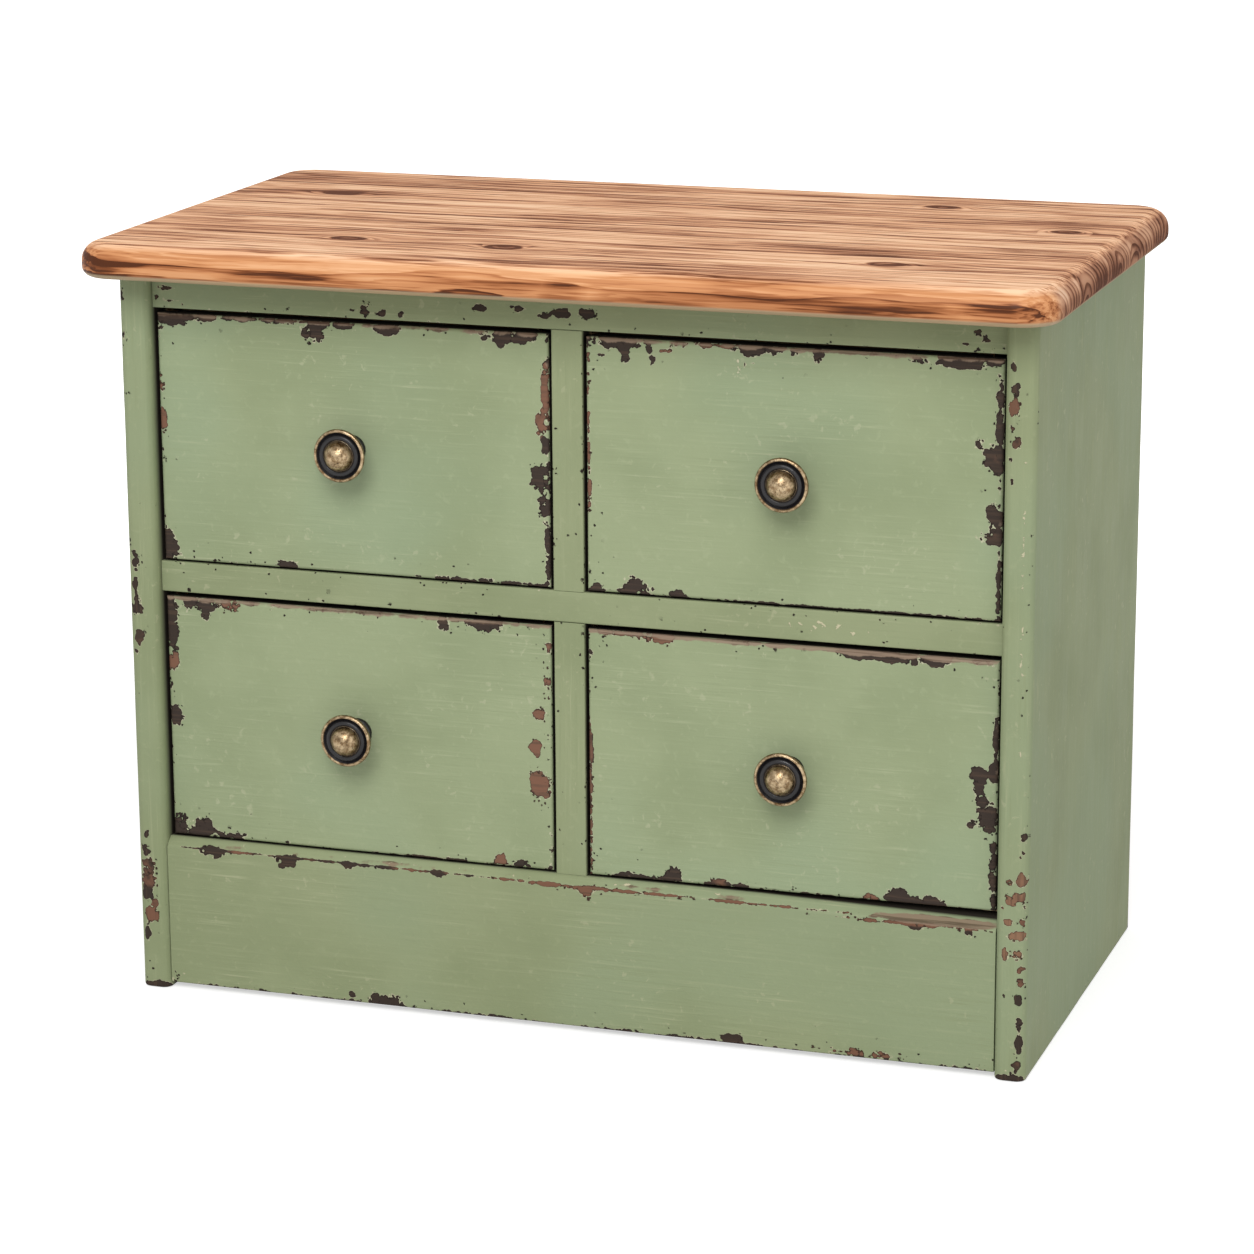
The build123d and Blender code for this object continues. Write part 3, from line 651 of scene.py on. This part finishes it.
wornFronts = {
    "drawer_upper_left": {
        "warm": 0.25,
        "edges": [("-y", "+z", 0.50), ("-y", "-z", 0.38), ("-y", "-x", 0.44), ("-y", "+x", 0.60)],
        "rubs": [("-y", "+z", 0.75), ("-y", "+x", 0.35)],
        "spots": [
            (10, 3, 11, 4.5, 1, 0), (30, 1.5, 11, 2.5, 0.9, 0), (62, 1, 32, 1.2, 0.8, 0),
            (101, 5, 7, 7.5, 1, 0), (119, 2, 11, 3, 0.9, 0), (147, 2.5, 7, 4, 1, 0),
            (226, 3, 19, 4, 1, 0), (219, 5, 5, 5, 1, 0), (245, 33, 2.5, 12, 0.9, 1),
            (243, 53, 4, 7.5, 1, 0.7), (245, 66, 2.6, 6, 1, 0), (241, 84, 6, 8, 1.05, 0.2),
            (244, 103, 4, 9, 1, 0.1), (246, 132, 1.6, 18, 0.9, 0.2), (211, 150, 37, 1.5, 0.85, 0.2),
            (81, 149, 7, 3, 0.9, 0), (4, 142, 6, 9, 1, 0.1), (2, 44, 2.4, 5, 0.85, 1),
            (2, 66, 3, 8, 0.85, 0.8),
        ],
    },
    "drawer_upper_right": {
        "warm": 0.25,
        "edges": [("-y", "+z", 0.50), ("-y", "-z", 0.40), ("-y", "-x", 0.40), ("-y", "+x", 0.46)],
        "rubs": [("-y", "+z", 0.85), ("-y", "+x", 0.40)],
        "spots": [
            (16, 2, 17, 4, 1, 0), (24, 9, 3.5, 6.5, 1, 0), (9, 10.5, 3, 1.4, 0.95, 0),
            (38.5, 5.5, 1.8, 2.6, 0.95, 0), (41, 10.5, 2.6, 2, 0.95, 0), (40.5, 14.5, 1.2, 1.2, 0.9, 0),
            (49, 5.3, 5, 1.2, 0.95, 1), (76, 1.2, 20, 1.3, 0.95, 0.9), (104, 2, 14, 4, 1, 0),
            (96, 11, 1.6, 1.3, 0.9, 0), (101, 9.5, 1.4, 1.3, 0.9, 0.1), (124.5, 2.5, 2.2, 2, 0.9, 0.2),
            (139.5, 3, 3.5, 5, 1, 0), (224, 2.5, 24, 4, 1, 0.1), (245, 38, 2.2, 28, 0.9, 0.3),
            (233.5, 48.5, 2.5, 3.5, 1, 0.2), (241, 57, 6.5, 7.5, 1, 0.2), (238, 73, 1.4, 1.4, 0.9, 0),
            (243, 88, 4.5, 8.5, 1, 0.1), (240, 102, 8, 5, 1.1, 0.3), (246, 128, 1.5, 22, 0.9, 0.2),
            (7, 149, 4, 3.5, 1, 0), (30, 147, 10, 6.5, 1, 0), (55, 149, 5, 3, 1, 0),
            (150, 150.5, 95, 1, 0.8, 0), (1.5, 60, 1.3, 45, 0.62, 1),
        ],
        "dabsAndHighlights": [(92, 13, 1.8, 6, 0.66), (95.5, 29, 7, 1.2, 0.62)],
    },
    "drawer_lower_left": {
        "warm": 0.35,
        "edges": [("-y", "+z", 0.46), ("-y", "-z", 0.40), ("-y", "-x", 0.42), ("-y", "+x", 0.42)],
        "rubs": [("-y", "+z", 0.90), ("-y", "+x", 0.45)],
        "spots": [
            (3.5, 17, 5, 18, 1, 0), (3.5, 41, 4.5, 6, 1, 1), (4.5, 74.5, 4.5, 6.5, 1, 0),
            (15, 3, 3.5, 5.5, 1, 0), (25, 4, 7, 5, 1, 0), (26, 10, 2.5, 5, 1, 0), (43, 3.5, 7, 5, 1, 0.9),
            (69, 2, 3, 2, 0.9, 0.6), (180.5, 4, 4.5, 6.5, 1, 0.1), (206, 2.5, 12, 4.5, 1, 0.1),
            (246, 13.5, 1.5, 3.5, 0.9, 1), (245, 38, 2, 10, 0.9, 1), (240.5, 54, 4.5, 4, 1, 1),
            (236, 74, 4.5, 4, 1, 1), (238.5, 79, 2.5, 3.5, 1, 1), (239.5, 98, 6.5, 11, 1.1, 1),
            (22, 148.5, 24, 3, 1, 0), (5, 144, 5.5, 7, 1, 0), (20, 144, 6, 7, 1, 0),
            (214.5, 147, 3.5, 4.5, 1, 1), (225.5, 148, 4, 2.5, 0.9, 0.3),
            (170, 150.3, 30, 0.9, 0.75, 0.2),
        ],
    },
    "drawer_lower_right": {
        "warm": 0.35,
        "edges": [("-y", "+z", 0.46), ("-y", "-z", 0.60), ("-y", "-x", 0.44), ("-y", "+x", 0.46)],
        "rubs": [("-y", "+z", 1.05), ("-y", "+x", 0.45), ("-y", "-z", 0.45)],
        "spots": [
            (20, 1.2, 13, 1.8, 0.9, 1), (42.5, 2.3, 9.5, 3.6, 1, 0.9), (172, 2.5, 18, 3, 1, 0.3),
            (205, 3, 12, 4, 1, 0.2), (185, 4, 6, 3, 1, 0.3), (246, 49, 1.5, 11, 0.9, 0.2),
            (236, 69, 5.5, 7, 1.1, 0.1), (245.5, 65, 3, 6, 1.05, 0.1), (237, 82, 4, 6.5, 1.05, 0.2),
            (241, 93, 5.5, 10, 1.1, 0.3), (232, 97.5, 3.2, 4, 1, 0.1), (245.5, 127, 2.2, 24, 0.95, 0.1),
            (1, 95, 1.8, 50, 0.85, 0.6), (25, 149.5, 13, 2, 0.95, 0.1), (52, 146.5, 6, 5, 1, 0.1),
            (80, 148.5, 8, 2.5, 0.9, 0.4), (95, 149.5, 5, 2.2, 0.95, 0.1), (189, 146.5, 8, 6, 1.1, 0),
            (208.5, 148.5, 8.5, 5, 1.1, 0), (199, 149.5, 9, 3, 1, 0), (173, 148, 4, 2.5, 0.9, 0.7),
            (140, 150.2, 35, 1.2, 0.8, 0.2), (230, 150.2, 16, 1.2, 0.85, 0.1),
        ],
    },
}

drawerFront = {
    "ease": 2 * mm, "lip": 8 * mm, "wall": 10 * mm, "cells": (2 * mm, 3 * mm, 2 * mm),
    # grimeandshade: depths on the drawer front's rim between which the gap is painted near-black as shade
    "dip": 0.22 * mm, "waves": 30, "grime": (1.8 * mm, 12 * mm),
    "rise": {"drawer_lower_right": 1.5 * mm},  # planed-off lower edge, most at its right end
    "riseReach": 12 * mm,
}


def makeDrawerFront(drawer):
    size, node = drawerFront, f"{drawer}_front"
    low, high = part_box(node)
    lipY, wallL, wallR = low.y + size["lip"], low.x + size["wall"], high.x - size["wall"]
    outline = [
        (low.x, low.y), (high.x, low.y), (high.x, lipY), (wallR, lipY),
        (wallR, high.y), (wallL, high.y), (wallL, lipY), (low.x, lipY),
    ]
    bm = prism(outline, "z", low.z, high.z)
    easeEdges(bm, lambda a, b: bothAt(a, b, 1, low.y), size["ease"], 4)
    sliceUp(bm, low, high, size["cells"])
    handWorked(bm, size["dip"], size["waves"])
    for v in bm.verts:
        share = max(0.0, 1 - (v.co.z - low.z) / size["riseReach"])
        v.co.z += size["rise"].get(drawer, 0.0) * share * (v.co.x - low.x) / (high.x - low.x)
    rules = wearRules(low, high, wornFronts[drawer] | {"grime": size["grime"]})
    return finishPiece(bm, f"{drawer}_face", paints["drawerPaint"], drawer, node, rules)


for drawer in wornFronts:
    makeDrawerFront(drawer)
print("drawer fronts done")

sidePanel = {
    "round": 6 * mm, "ease": 1.5 * mm, "rebate": 9 * mm, "back": 4 * mm,
    "cells": (2.4 * mm, 6 * mm, 2.4 * mm), "dip": 0.25 * mm, "waves": 22,
    # grimeandshade: depths on the panel's inner face painted near-black as gap shade
    "grime": (10 * mm, 24 * mm), "flecks": 0.03,
}
footWear = [("-z", "-y", 0.6), ("-z", "-x", 0.42), ("-z", "+x", 0.42)]
wornSides = {
    "side_panel_left": {
        "warm": 0.3,
        "edges": [("-y", "-x", 0.30), ("-y", "+x", 0.10), *footWear, ("+y", "-x", 0.36)],
        "spots": [
            (3, 14, 2, 4, 0.9, 0.3), (3, 38, 2, 5, 0.9, 0.3), (6, 176, 3.5, 6, 1, 0),
            (5, 190, 2.5, 4, 1, 0), (6, 203, 4, 7, 1, 0.3), (7, 224, 3, 5, 1, 0.5),
            (5, 233, 2, 2.5, 0.9, 0), (7, 349, 2, 2, 0.9, 0.2), (6, 359, 4.5, 3.5, 1, 0.2),
            (8, 369, 5, 5, 1, 0.5), (8, 379, 5.5, 5, 1, 0.6), (6, 387, 5, 4, 1, 0.3),
            (11, 392, 2.5, 3, 1, 0.6), (7, 399, 3, 5, 1, 0.8), (10, 401, 4, 4.5, 1, 0.9),
            (5, 412, 2, 6, 0.95, 0.3), (9.5, 447, 10, 3.5, 1.1, 0),
        ],
    },
    "side_panel_right": {
        "warm": 0.3,
        "edges": [("-y", "-x", 0.10), ("-y", "+x", 0.30), *footWear, ("+y", "+x", 0.36)],
        "spots": [
            (5, 27, 2, 3, 0.9, 0.3), (7, 40, 3, 5, 1, 0.3), (6, 50, 4, 5, 1, 0.6),
            (5, 62, 2, 3, 0.9, 0.4), (8, 70, 3, 4, 1, 0.5), (4, 80, 1.5, 2, 0.9, 0.2),
            (5, 92, 1.5, 2, 0.9, 0.3), (16.5, 299.5, 2.6, 4.2, 1, 0), (16, 309, 1.4, 1.6, 0.95, 0),
            (14, 311.5, 1.1, 1.1, 0.9, 0), (8.5, 327, 3.4, 2.6, 1, 1.6), (15.3, 325.5, 3.4, 4.4, 1, 1.5),
            (7, 335.5, 2.5, 3, 1, 1.6), (13, 335, 4.6, 2.4, 1, 1.6), (16.5, 341, 2.3, 4.6, 1, 1.4),
            (10.5, 339.5, 3, 2.2, 1, 1.6), (4, 342, 1.4, 2.2, 0.95, 1.2), (8.5, 350.5, 3.4, 2.3, 1, 1.6),
            (16, 350, 2.2, 2.3, 1, 1.2), (12.5, 359.5, 5.6, 3.8, 1, 1.6), (6, 370, 2, 4.4, 1, 1.4),
            (13.5, 370, 4.8, 3.4, 1, 1.5), (15.8, 379.5, 2.8, 2.6, 1, 0.7), (16, 387, 2.4, 2.8, 1, 0.5),
            (14, 398, 2.5, 4, 1, 0.2), (15, 412, 2, 5, 1, 0.3), (15, 426, 2.5, 6, 1, 0.2),
            (14, 438, 2.5, 4, 1, 0.3), (6, 395, 1.2, 1.5, 0.8, 0.2), (5, 405, 1.2, 1.5, 0.8, 0.2),
            (7, 430, 1.2, 1.5, 0.8, 0.2), (8, 440, 1.5, 1.5, 0.8, 0.2), (9.5, 447, 10, 3.5, 1.1, 0),
        ],
        # painted highlight: a broken pale line on the ridge where the stile's front rounding begins
        "dabsAndHighlights": [(12.8, 170, 1.4, 120, 0.50)],
    },
}


def makeSidePanel(node):
    size = sidePanel
    low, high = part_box(node)
    outX, inX = (low.x, high.x) if low.x < 0 else (high.x, low.x)
    stepX = inX + (size["rebate"] if inX > 0 else -size["rebate"])
    stepY = high.y - size["back"]
    outline = [(outX, low.y), (inX, low.y), (inX, stepY), (stepX, stepY), (stepX, high.y), (outX, high.y)]
    bm = prism(outline, "z", low.z, high.z)
    easeEdges(bm, lambda a, b: bothAt(a, b, 1, low.y) and near(a.x, b.x), size["round"], 7)
    easeEdges(bm, lambda a, b: bothAt(a, b, 0, outX) and bothAt(a, b, 1, high.y), size["ease"], 2)
    easeEdges(bm, lambda a, b: bothAt(a, b, 2, low.z), size["ease"], 2)
    sliceUp(bm, low, high, size["cells"])
    handWorked(bm, size["dip"], size["waves"])
    inside = {"grime": size["grime"], "flecks": size["flecks"], "inner": "+x" if inX < 0 else "-x"}
    rules = wearRules(low, high, wornSides[node] | inside)
    return finishPiece(bm, f"{node}_board", paints["postPaint"], "carcass", node, rules)


for node in wornSides:
    makeSidePanel(node)
print("side panels done")

dividerLook = {"grain": "z", "warm": 0.4, "edges": [("-y", "-x", 0.26), ("-y", "+x", 0.26)], "spots": []}
frameBoards = {
    "top_rail": {
        "grain": "x", "warm": 0.2, "edges": [("-y", "-z", 0.30)],
        "spots": [
            (128, 17.5, 2.5, 1.6, 0.95, 0.2), (137, 15.5, 4, 3.5, 1, 0.1), (146, 18, 3.5, 2.2, 1, 0.1),
            (159, 18.5, 2, 3, 0.95, 0.2), (207, 11.5, 5, 2.2, 1, 0.1), (231, 10.5, 7, 2.2, 1, 0.1),
            (247.5, 13.5, 4.5, 1.8, 0.95, 0.2), (258, 12, 7, 3.2, 1, 0.1), (275, 11.5, 6, 3.8, 1, 0.1),
            (18, 18.5, 3, 1.5, 0.9, 0.6), (3, 15.5, 3, 2, 0.9, 0.5), (505, 10.5, 4, 2.5, 0.9, 0.2),
            (12, 17.6, 6, 1.7, 0.95, 0.2), (9, 9.5, 7, 2.2, 0.88, 0.4), (497, 17.5, 2.6, 1.5, 0.9, 0.2),
            (509, 14, 3, 1.8, 0.9, 0.1),
        ],
    },
    "middle_rail": {
        "grain": "x", "warm": 0.4, "edges": [("-y", "-z", 0.28), ("-y", "+z", 0.30)],
        "spots": [], "dabsAndHighlights": [(418, 10, 36, 4.5, 0.52)],
    },
    "divider_lower": dividerLook,
    "divider_upper": dividerLook,
}
frameBoard = {
    "ease": 1 * mm, "cells": (2.4 * mm, 4 * mm, 2.4 * mm), "dip": 0.2 * mm, "waves": 25,
    # grimeandshade: depths on the rails and dividers painted near-black as gap shade
    "grime": (1.4 * mm, 14 * mm), "flecks": 0.03,
}


def makeFrameBoard(node):
    size, look = frameBoard, frameBoards[node]
    low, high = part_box(node)
    bm = prism([(low.x, low.y), (high.x, low.y), (high.x, high.y), (low.x, high.y)], "z", low.z, high.z)
    along = 0 if look["grain"] == "x" else 2
    easeEdges(bm, lambda a, b: bothAt(a, b, 1, low.y) and not near(a[along], b[along]), size["ease"], 3)
    sliceUp(bm, low, high, size["cells"])
    handWorked(bm, size["dip"], size["waves"])
    rules = wearRules(low, high, look | {"grime": size["grime"], "flecks": size["flecks"]})
    paint = paints["railPaint" if look["grain"] == "x" else "postPaint"]
    return finishPiece(bm, f"{node}_board", paint, "carcass", node, rules)


for node in frameBoards:
    makeFrameBoard(node)
print("rails and dividers done")

plinth = {
    "bevelDepth": 6 * mm, "bevelHeight": 4.5 * mm, "ease": 1.2 * mm,
    "cells": (2.4 * mm, 4 * mm, 2.4 * mm), "dip": 0.25 * mm, "waves": 18,
    # the bevel is worn down towards its right end: how much, from where, how far down and how far in
    "sag": 2.6 * mm, "sagFrom": 380 * mm, "sagDown": 12 * mm, "sagIn": (14 * mm, 8 * mm),
    # grimeandshade: depths on the plinth painted near-black as gap shade
    "warm": 0.3, "grime": (6.4 * mm, 20 * mm),
    "edges": [("-y", "-z", 0.40)],
    "spots": [
        (30, 6, 8, 3.5, 1, 0), (80, 8, 8, 4.5, 1, 0), (120, 6, 4.5, 2.5, 0.95, 0),
        (178, 5.5, 4, 2, 0.95, 0.2), (268, 5.5, 48, 1.6, 0.9, 1), (272, 8, 4.5, 3.5, 1, 1),
        (470, 7.5, 52, 1.2, 0.9, 0.9), (475, 9, 4.5, 2.6, 1, 0.3), (506, 10.5, 3.2, 2.8, 1, 0.1),
        (121, 88.5, 2.5, 2, 1, 0), (142, 89.5, 11, 4.5, 1.1, 0), (363, 89.5, 6, 2.5, 1, 0),
        (443, 90, 28, 2, 0.8, 0.8), (4, 89, 5, 5, 1, 0), (120, 5, 120, 0.9, 0.92, 0.5),
        (370, 5, 90, 0.9, 0.85, 0.8), (262, 93, 262, 0.8, 0.55, 0.3),
    ],
    # painted highlight: a pale line along the bevel's upper edge
    "dabsAndHighlights": [(200, 2, 200, 1.6, 0.42)],
    "scuffs": [(130, 3, 130, 1.4, 0.5), (330, 3, 80, 1.4, 0.5), (488, 5.0, 38, 2.4, 1.1)],
}


def makePlinth():
    look, node = plinth, "plinth_board"
    low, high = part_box(node)
    shoulder = high.z - look["bevelHeight"]
    outline = [
        (low.y, low.z), (high.y, low.z), (high.y, high.z),
        (low.y + look["bevelDepth"], high.z), (low.y, shoulder),
    ]
    bm = prism(outline, "x", low.x, high.x)
    easeEdges(bm, lambda a, b: bothAt(a, b, 1, low.y) and not near(a.x, b.x), look["ease"], 3)
    sliceUp(bm, low, high, look["cells"])
    handWorked(bm, look["dip"], look["waves"])
    none, full = look["sagIn"]
    for v in bm.verts:
        share = ramp(v.co.x, low.x + look["sagFrom"], high.x) * ramp(v.co.y, low.y + none, low.y + full)
        v.co.z -= look["sag"] * share * ramp(v.co.z, high.z - look["sagDown"], shoulder)
    rules = wearRules(low, high, look)
    return finishPiece(bm, f"{node}_face", paints["railPaint"], "carcass", node, rules)


makePlinth()
print("plinth done")

topBoard = {
    "corner": 25 * mm, "upperRound": 12 * mm, "lowerRound": 6 * mm,
    "cells": (4 * mm, 3 * mm, 2.4 * mm), "dip": 0.25 * mm, "waves": 16,
    "parting": (0.6, 5),  # how much, and how far off, the grain gives way to a knot
    # knots: x, y, half length, half width
    "knots": [
        (-217, 64, 15, 8), (-145, -101, 14, 8), (-46, -106, 15, 10), (161, 115, 14, 8),
        (183, -100, 15, 9), (255, 41, 12, 8),
    ],
    # pools: x, distance under the upper face, half length, half height, strength
    "pools": [
        (-282, 12, 34, 7, 0.70), (-222, 14, 30, 4, 0.50), (-150, 15, 62, 5, 0.62), (-42, 13, 54, 6, 0.75),
        (10, 15, 15, 7, 0.85), (60, 16, 34, 4, 0.35), (120, 11, 60, 1.5, 0.25), (210, 15, 34, 4, 0.95),
        (266, 13, 22, 6, 0.72),
    ],
}


def makeTop():
    size, node = topBoard, "top_board"
    low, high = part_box(node)
    bm = prism([(low.x, low.y), (high.x, low.y), (high.x, high.y), (low.x, high.y)], "z", low.z, high.z)
    easeEdges(bm, lambda a, b: not near(a.z, b.z), size["corner"], 12)
    easeEdges(bm, lambda a, b: bothAt(a, b, 2, high.z), size["upperRound"], 9)
    easeEdges(bm, lambda a, b: bothAt(a, b, 2, low.z), size["lowerRound"], 5)
    sliceUp(bm, low, high, size["cells"])
    handWorked(bm, size["dip"], size["waves"])

    def fromKnots(point):
        for x, y, long, wide in size["knots"]:
            yield ((point.x / mm - x) / long) ** 2 + ((point.y / mm - y) / wide) ** 2, point.y - y * mm

    def knotAt(point):
        return max(math.exp(-away) for away, across in fromKnots(point))

    def flowAt(point):
        parting, reach = size["parting"]
        return sum(parting * across * math.exp(-away / reach) for away, across in fromKnots(point))

    def poolAt(point):
        most = 0.0
        for x, down, long, tall, strength in size["pools"]:
            away = ((point.x / mm - x) / long) ** 2 + (((high.z - point.z) / mm - down) / tall) ** 2
            most = max(most, strength * math.exp(-away ** 2))
        return most

    material = topMaterial(pineRings, low, high)
    rules = {"knot": knotAt, "flow": flowAt, "pool": poolAt}
    return finishPiece(bm, "top_board_slab", material, "carcass", node, rules)


makeTop()
print("top done")

# Knob, turned about the line square to the drawer front
knobTurning = {
    "segments": 72,
    # corners: radius, height above the face, patina
    # arcs: the centre's radius and height, the arc's radius, its two angles, steps, patina
    "foot": [(8.9, 0.0, 1.2), (8.9, 1.2, 1.2), (8.6, 1.8, 1.2)],
    "neck": (13.24, 8.5, 7.44, 232, 116, 9, 1.2),
    "flare": [(12.6, 16.7, 1.0), (14.9, 17.8, 0.8)],
    "bead": (14.4, 19.5, 1.6, -45, 92, 7, 0.0),
    "groove": [(13.95, 20.7, 0.5), (13.4, 20.1, 1.2), (12.95, 19.6, 1.3), (12.65, 19.5, 1.3)],
    "ring": (10.75, 19.5, 1.85, 12, 140, 7, 1.1),
    "dome": (0.0, 18.58, 9.42, 13.5, 84, 11, 0.0),
    "tip": 28.0,
}


def arcPoints(middle, height, radius, start, end, steps, patina):
    for i in range(steps + 1):
        angle = math.radians(start + (end - start) * i / steps)
        yield middle + radius * math.cos(angle), height + radius * math.sin(angle), patina


def knobProfile(turn):
    points = []
    for part in ("foot", "neck", "flare", "bead", "groove", "ring", "dome"):
        points += turn[part] if isinstance(turn[part], list) else arcPoints(*turn[part])
    return points


def makeKnob(drawer):
    turn, node = knobTurning, f"{drawer}_knob"
    profile = knobProfile(turn)
    low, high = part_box(node)
    centre = Vector(((low.x + high.x) / 2, high.y, (low.z + high.z) / 2))
    bm = bmesh.new()
    chain = [bm.verts.new(centre + Vector((r * mm, -h * mm, 0))) for r, h, patina in profile]
    edges = [bm.edges.new(pair) for pair in zip(chain, chain[1:])]
    bmesh.ops.spin(
        bm, geom=chain + edges, cent=centre, axis=(0, 1, 0), angle=2 * math.pi,
        steps=turn["segments"], use_merge=True,
    )
    bmesh.ops.remove_doubles(bm, verts=bm.verts[:], dist=0.01 * mm)
    openRims = [e for e in bm.edges if e.is_boundary]
    caps = bmesh.ops.holes_fill(bm, edges=openRims, sides=0)["faces"]
    tips = bmesh.ops.poke(bm, faces=caps)["verts"]
    front = min(tips, key=lambda v: v.co.y)
    front.co.y = centre.y - turn["tip"] * mm

    def patinaAt(point):
        radius = math.hypot(point.x - centre.x, point.z - centre.z) / mm
        height = (centre.y - point.y) / mm
        nearest = min(profile, key=lambda p: (p[0] - radius) ** 2 + (p[1] - height) ** 2)
        return nearest[2] if radius > 0.5 else 0.0

    rules = {"patina": patinaAt}
    return finishPiece(bm, f"{drawer}_knob_turned", brass, drawer, node, rules)


for drawer in wornFronts:
    makeKnob(drawer)
print("knobs done")

# The CAD nodes that stay: what is inside and behind
woods = {}


def coverNode(node, material):
    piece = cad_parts[node]
    if not piece.material_slots:
        piece.data.materials.append(material)
    for slot in piece.material_slots:
        slot.material = material


def woodOf(node):
    if node == "back_panel" or node.endswith("_bottom") and node.startswith("drawer_"):
        return "plywood", "x"
    if node == "frame_dowels":
        return "beech", "x"
    if node.startswith("rear_rail") or node.endswith("_back"):
        return "rawPine", "x"
    if node in ("drawer_stops", "plinth_glue_blocks"):
        return "rawPine", "z"
    return "rawPine", "y"


replaced = set(wornSides) | set(frameBoards) | {"plinth_board", "top_board"}
replaced |= {f"{drawer}_{end}" for drawer in wornFronts for end in ("front", "knob")}
for node in sorted(set(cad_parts) - replaced):
    if node.endswith(("_screws", "_screw", "_nails")):
        coverNode(node, steel)
        continue
    key = woodOf(node)
    if key not in woods:
        woods[key] = woodMaterial(pineRings, *key)
    coverNode(node, woods[key])
print("inner pieces covered")

# Floor, lights, camera
studio = {
    "floorHalf": 6.0,
    "floorColour": (0.66, 0.66, 0.66, 1),
    "floorGlow": 0.56,
    "inside": (0.255, 0.115),  # half sizes of the floor that lies within the chest, which doesn't glow
    "floorFade": (0.55, 1.25),  # beyond this the floor is as white as the backdrop
    "ambient": 0.68,
    "lamps": {
        "key": {"at": (0.35, -2.7, 2.45), "size": 1.6, "watts": 65},
        "right": {"at": (2.4, -1.8, 0.8), "size": 1.4, "watts": 7},
    },
    "aim": (0, 0, 0.25),
}


def seenDirectly(tree):  # camera, mirror-like and see-through rays
    path = tree.nodes.new("ShaderNodeLightPath").outputs
    seen = larger(tree, path["Is Camera Ray"], path["Is Glossy Ray"])
    return larger(tree, seen, path["Is Transmission Ray"])


def makeFloor():
    bm = bmesh.new()
    bmesh.ops.create_grid(bm, x_segments=2, y_segments=2, size=studio["floorHalf"])
    mesh = bpy.data.meshes.new("floor")
    bm.to_mesh(mesh)
    bm.free()
    floor = bpy.data.objects.new("floor", mesh)
    scene.collection.objects.link(floor)
    material = bpy.data.materials.new("studioFloor")
    material.use_nodes = True
    tree = material.node_tree
    tree.nodes.clear()
    matt = addNode(tree, "ShaderNodeBsdfDiffuse", {"Color": studio["floorColour"]}).outputs[0]
    coords = tree.nodes.new("ShaderNodeTexCoord").outputs["Object"]
    away = addNode(tree, "ShaderNodeVectorMath", {0: coords}, operation="LENGTH").outputs["Value"]
    level = fade(tree, away, *studio["floorFade"], studio["floorGlow"], 1.0)
    sides = addNode(tree, "ShaderNodeSeparateXYZ", {0: coords}).outputs
    beyond = []
    for side, half in zip(sides, studio["inside"]):
        beyond.append(calc(tree, "GREATER_THAN", calc(tree, "ABSOLUTE", side), half))
    level = times(tree, level, larger(tree, *beyond))
    level = times(tree, level, seenDirectly(tree))
    glow = addNode(tree, "ShaderNodeEmission", {"Strength": level}).outputs[0]
    both = addNode(tree, "ShaderNodeAddShader", {0: matt, 1: glow}).outputs[0]
    addNode(tree, "ShaderNodeOutputMaterial", {"Surface": both})
    mesh.materials.append(material)


def makeWorld():
    world = bpy.data.worlds.new("studio")
    world.use_nodes = True
    tree = world.node_tree
    tree.nodes.clear()
    strength = fade(tree, seenDirectly(tree), 0.0, 1.0, studio["ambient"], 1.0)
    sky = addNode(tree, "ShaderNodeBackground", {"Color": (1, 1, 1, 1), "Strength": strength}).outputs[0]
    addNode(tree, "ShaderNodeOutputWorld", {"Surface": sky})
    scene.world = world


def makeLamps():
    for name, lamp in studio["lamps"].items():
        light = bpy.data.lights.new(name, "AREA")
        light.energy = lamp["watts"]
        light.size = lamp["size"]
        holder = bpy.data.objects.new(name, light)
        holder.location = lamp["at"]
        towards = Vector(studio["aim"]) - Vector(lamp["at"])
        holder.rotation_euler = towards.to_track_quat("-Z", "Y").to_euler()
        scene.collection.objects.link(holder)


camera = {"lens": 118.3, "sensor": 36, "at": (0.7789, -2.3362, 0.8548), "turn": (75.502, 0.310, 18.510)}


def makeCamera():
    data = bpy.data.cameras.new("camera")
    data.lens = camera["lens"]
    data.sensor_width = camera["sensor"]
    holder = bpy.data.objects.new("camera", data)
    holder.location = camera["at"]
    holder.rotation_euler = Euler([math.radians(a) for a in camera["turn"]])
    scene.collection.objects.link(holder)
    scene.camera = holder


makeFloor()
makeWorld()
makeLamps()
makeCamera()
print("studio ready")
